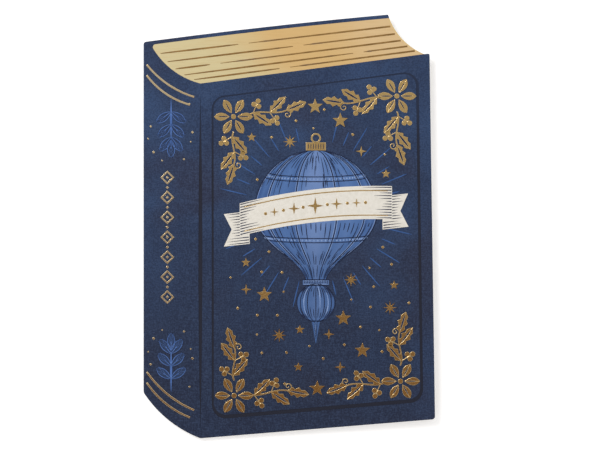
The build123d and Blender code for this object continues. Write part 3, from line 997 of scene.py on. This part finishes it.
def label_curve(level, shares, inset=0.0):
    """An arched line along the label at a level of the cover, short of its ends by an inset."""
    start = on_cover(inset - band_half, level)
    return arc(start, on_cover(band_half - inset, level), label_arch, shares)


low = label_curve(band_low, shares)
sheet_band = ruled(low, label_curve(band_high, shares), flat(label_top), print_floor)
tail_x = band_half - tail_tuck
tail_end = tail_x + tail_length
tails = []
folds = []
for side in (-1, 1):
    across = np.linspace(-1.0, 1.0, 21)
    up = label_level - tail_drop + label_width / 2 * across
    inner = on_cover(np.full(21, side * tail_x), up)
    outer = on_cover(side * (tail_end - tail_notch * (1 - np.abs(across))), up)
    low, high = (inner[::-1], outer[::-1]) if side < 0 else (outer, inner)
    tails.append(ruled(low, high, flat(tail_level), print_floor))
    for k in range(fold_lines):
        share = (k + 0.5) / fold_lines
        level = band_low - tail_drop + label_width * share
        edge = tail_length - tail_tuck - tail_notch * (1 - abs(2 * share - 1))
        tuck = tail_tuck - tail_bare if level < band_low else fold_tuck
        near = on_cover(side * (band_half - tuck), level)
        far = on_cover(side * (band_half + edge * rng.uniform(0.45, 0.9)), level)
        line = straight(near, far, shares[::3])
        half = fold_width / 2 * (1 - shares[::3]) ** 0.7
        folds.append(inked(line, half, hatch_level + 0.01))
        level = band_low + label_width * share
        reach = (0.05 + 0.11 * abs(2 * share - 1)) * rng.uniform(0.7, 1.3)
        ends = 0.5 + side * (0.5 - np.linspace(0.004, reach, 21))
        half = fold_width / 2 * np.linspace(1.0, 0.0, 21) ** 0.7
        folds.append(inked(label_curve(level, ends), half, label_ink_level))

ivory = matte_ink("cream_print", srgb(226, 222, 213), srgb(219, 215, 205), 700.0, 0.00004)
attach(piece("label_band", [sheet_band], ivory), "root")
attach(piece("label_tails", tails, ivory), "root")
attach(piece("label_folds", folds, ink_navy), "root")

rule_half = label_rule_width / 2 * swell(shares, -0.03, 1.03) ** 0.5
stamps = [
    stroke(label_curve(level, shares, label_rule_inset), rule_half, stamped, foil_floor)
    for level in (band_high - label_rule_inset, band_low + label_rule_inset)
]
row_length = np.linalg.norm(np.diff(label_curve(label_level, shares), axis=0), axis=1).sum()
marks = [(0.0, label_star, label_star_waist)]
for side in (-1, 1):
    marks += [(side * offset, radius, label_star_waist) for offset, radius in label_sparkles]
    marks += [(side * offset, label_dot_radius, 1.0) for offset in label_dots]
for offset, radius, waist in marks:
    spot = label_curve(label_level, np.array([0.5 + offset / row_length]))[0]
    stamps.append(round_star(spot, 4, radius, waist))
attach(piece("label_foil", stamps, gold_leaf), "root")

# The corner sprays: in each corner of the frame a six-petalled flower of stamped foil, with a
# long branch along the head or foot and a short one down the side. Each branch sways once and
# carries toothed leaves, split down their midribs, berries on thin stalks and curled tendrils.
spray_inset = 9.0
leaf_length = 9.0
leaf_width = 4.2
leaf_slit = 0.66
leaf_angle = 48.0
leaf_margin = 0.05
leaf_stations = (0.0, 0.22, 0.33, 0.50, 0.62, 0.78, 1.0)
leaf_reaches = (0.0, 0.84, 0.50, 1.0, 0.54, 0.68, 0.0)
slit_start = 0.14
slit_end = 0.84
petal_count = 6
petal_length = 6.2
petal_width = 3.2
petal_start = 1.5
petal_slit = 0.44
vein_level = 0.135
vein_floor = 0.03
vein_overlap = 0.04
stem_width = 0.62
stalk_width = 0.36
berry_count = 3
berry_radius = 1.0
berry_ring = 1.25
berry_reach = 4.0
berry_angle = 52.0
tendril_radius = 1.7
spray_gap = 2.45
long_leaf_shares = (0.12, 0.55, 0.96)
short_branch = 13.4
short_leaf_shares = (0.14, 0.60, 0.96)
branch_sway = 1.9

branch_start = spray_inset + petal_length
long_branch = frame_right - branch_start - leaf_length - spray_gap


def split_blade(base, tip, half, slit):
    """A leaf or petal as two halves, one on each side of the slit along its midrib, and the bare
    board in the slit."""
    path = straight(base, tip, np.linspace(0.0, 1.0, len(half)))
    left = ruled(*beside(path, slit, half), stamped, foil_floor)
    right = ruled(*beside(path, -half, -slit), stamped, foil_floor)
    bare = slit > 0
    vein = stroke(path[bare], slit[bare] + vein_overlap, flat(vein_level), vein_floor)
    return [left, right], vein


def tendril(root, angle, turn):
    """A spiral r = R (1 - 0.75 s)^1.3 wound through 1.25 turns, which sets out straight ahead."""
    shares = np.linspace(0.0, 1.0, 49)
    radius = tendril_radius * (1 - 0.75 * shares) ** 1.3
    winding = radians(angle) + turn * pi * (2.5 * shares - 0.5)
    hub = turned(root, angle + turn * 90.0, tendril_radius)
    path = hub + radius[:, None] * np.stack((np.cos(winding), np.sin(winding)), -1)
    return stroke(path, stalk_width / 2 * (1.2 - 0.4 * shares), stamped, foil_floor)


shares = np.linspace(0.0, 1.0, 65)
leaf_half = leaf_width / 2 * np.interp(shares, leaf_stations, leaf_reaches)
leaf_half += leaf_margin * swell(shares, 0, 1)
midrib = leaf_slit / 2 * swell(shares, slit_start, slit_end)
petal_shares = np.linspace(0.0, 1.0, 33)
petal_half = petal_width / 2 * np.sin(pi * petal_shares**1.25) ** 0.8
petal_rib = petal_slit / 2 * swell(petal_shares, 0.1, 0.75)
stalk_half = np.full(len(shares[::4]), stalk_width / 2)
leaves, petals, stems, berries, veins = [], [], [], [], []
for side in (-1, 1):
    for end in (-1, 1):
        level = frame_top if end > 0 else frame_bottom
        flower = on_cover(side * (frame_right - spray_inset), level - end * spray_inset)
        berries.append(round_star(flower, 8, berry_radius, 1.0))
        for k in range(petal_count):
            angle = 360.0 * k / petal_count
            near = turned(flower, angle, petal_start)
            far = turned(near, angle, petal_length + 0.1)
            blades, vein = split_blade(near, far, petal_half, petal_rib)
            petals += blades
            veins.append(vein)
        for reach, along, away, leaf_shares in (
            (long_branch, 1, 0, long_leaf_shares),
            (short_branch, 0, 1, short_leaf_shares),
        ):
            control = []
            for share, sway in ((0, 0), (1 / 3, -branch_sway), (2 / 3, branch_sway), (1, 0)):
                forward = branch_start + reach * share
                aside = spray_inset + sway
                across = frame_right - (forward * along + aside * away)
                up = level - end * (forward * away + aside * along)
                control.append(on_cover(side * across, up))
            path = bezier(control, shares)
            half = stem_width / 2 * np.interp(shares, (0.0, 0.04, 1.0), (0.7, 1.0, 0.8))
            stems.append(stroke(path, half, stamped, foil_floor))
            travel = np.cumsum(np.linalg.norm(np.diff(path, axis=0, prepend=path[:1]), axis=1))
            turn = side * end * (along - away)
            for share in leaf_shares:
                node, ahead = (
                    np.array([np.interp(share * travel[-1], travel, values) for values in curve.T])
                    for curve in (path, np.gradient(path, axis=0))
                )
                heading = np.degrees(np.arctan2(ahead[1], ahead[0]))
                if share == leaf_shares[-1]:
                    tip = turned(node, heading, leaf_length)
                    stems.append(tendril(node, heading, turn))
                else:
                    tip = turned(node, heading + turn * leaf_angle, leaf_length)
                    stalk = heading - turn * berry_angle
                    bunch = turned(node, stalk, berry_reach)
                    line = straight(node, bunch, shares[::4])
                    stems.append(stroke(line, stalk_half, stamped, foil_floor))
                    for k in range(berry_count):
                        berry = turned(bunch, stalk + 360.0 * k / berry_count, berry_ring)
                        berries.append(round_star(berry, 8, berry_radius, 1.0))
                        line = straight(bunch, berry, shares[::4])
                        stems.append(stroke(line, stalk_half, stamped, foil_floor))
                blades, vein = split_blade(node, tip, leaf_half, midrib)
                leaves += blades
                veins.append(vein)
                turn = -turn

for name, shells in (
    ("spray_stems", stems),
    ("spray_leaves", leaves),
    ("spray_petals", petals),
    ("spray_berries", berries),
):
    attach(piece(name, shells, gold_leaf), "root")
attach(piece("spray_veins", veins, ink_navy), "root")

# The stars: stars, sparkles, bursts and dots of stamped foil, strewn over the panel on a
# sunflower spiral. A star is there where the board has the corner that its die pressed.
middle_star = 3.2
middle_star_points = 5
middle_star_waist = 0.42
scatter_count = 230
scatter_spacing = 4.65
golden_angle = 137.508
star_point_counts = (5, 2, 4, 2, 2, 5, 2, 8, 2, 2, 2)
star_radii = (3.2, 0.6, 2.3, 0.6, 0.45, 1.9, 0.6, 2.9, 0.6, 0.45, 0.6)
star_waist_shares = (0.42, 1.0, 0.26, 1.0, 1.0, 0.42, 1.0, 0.30, 1.0, 1.0, 1.0)
star_margin = 0.06
corner_match = 0.02

points = np.empty(len(sheet.data.vertices) * 3)
sheet.data.vertices.foreach_get("co", points)
x, y, z = points.reshape(-1, 3).T * 1000
climb = z - front_level
raised = np.abs(climb * run - x * rise - foil_height) < 0.01
corners = np.stack((x * run + climb * rise, y), -1)[raised]
stars = [
    round_star(on_cover(0.0, level), middle_star_points, middle_star + star_margin, middle_star_waist)
    for level in (frame_top - spray_inset, frame_bottom + spray_inset)
]
for k in range(scatter_count):
    across, up = turned((0.0, 0.0), k * golden_angle, scatter_spacing * sqrt(k))
    kind = k % len(star_radii)
    spot = on_cover(across, up)
    pressed = np.linalg.norm(corners - spot - (0, star_radii[kind]), axis=1).min()
    if pressed < corner_match:
        radius = star_radii[kind] + star_margin
        stars.append(round_star(spot, star_point_counts[kind], radius, star_waist_shares[kind]))
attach(piece("stars", stars, gold_leaf), "root")

# The floor, the light and the camera. The card lies on a white sheet in a bright room, under a
# soft lamp up and to the left of its head. The room is brown beyond its foot, which the foil
# there mirrors, and the camera looks straight down on it.
floor_size = 3.0
floor_gap = 0.0001
floor_glow = 0.38
aim = (0.00441, 0.00068)
aim_height = 0.00236
distance = 0.6686
wall_light = (0.92, 0.92, 0.92, 1.0)
ceiling_light = (0.66, 0.66, 0.66, 1.0)
flag_light = (0.19, 0.080, 0.014, 1.0)
lamp_place = (-0.55, 0.60, 0.75)
lamp_size = (0.45, 0.45)
lamp_power = 5.5

mesh = bpy.data.meshes.new("floor")
half = floor_size / 2
corners = ((-half, -half), (half, -half), (half, half), (-half, half))
mesh.from_pydata([(*corner, -floor_gap) for corner in corners], [], [(0, 1, 2, 3)])
floor = bpy.data.objects.new("floor", mesh)
bpy.context.scene.collection.objects.link(floor)
white = Finish("floor", Roughness=0.9, Specular_IOR_Level=0.0, Base_Color=(0.80, 0.80, 0.80, 1.0),
               Emission_Color=(1.0, 1.0, 1.0, 1.0))
seen = white.node("ShaderNodeLightPath", output="Is Camera Ray")
white.feed("Emission Strength", seen * floor_glow)
mesh.materials.append(white.material)
floor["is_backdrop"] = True

room = Finish("room", bpy.data.worlds, "Background")
across, toward_head, up = room.parts(room.node("ShaderNodeTexCoord", output="Generated"))
shade = room.blend(up.ramp(0.70, 0.92), wall_light, ceiling_light)
flag = toward_head.ramp(0.05, -0.08) * toward_head.ramp(-0.65, -0.45)
flag = flag * across.ramp(-0.60, -0.38) * across.ramp(0.60, 0.38)
room.feed("Color", room.blend(flag, shade, flag_light))
bpy.context.scene.world = room.material

light = bpy.data.lights.new("head_lamp", "AREA")
light.shape = "RECTANGLE"
light.size, light.size_y = lamp_size
light.energy = lamp_power
lamp = bpy.data.objects.new("head_lamp", light)
lamp.location = lamp_place
lamp.rotation_euler = lamp.location.to_track_quat("Z", "Y").to_euler()
bpy.context.scene.collection.objects.link(lamp)

camera = bpy.data.objects.new("camera", bpy.data.cameras.new("camera"))
camera.data.lens = 100.0
camera.data.sensor_width = 36.0
camera.location = (*aim, aim_height + distance)
bpy.context.scene.collection.objects.link(camera)
bpy.context.scene.camera = camera
bpy.context.scene.view_settings.view_transform = "Standard"

low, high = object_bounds()
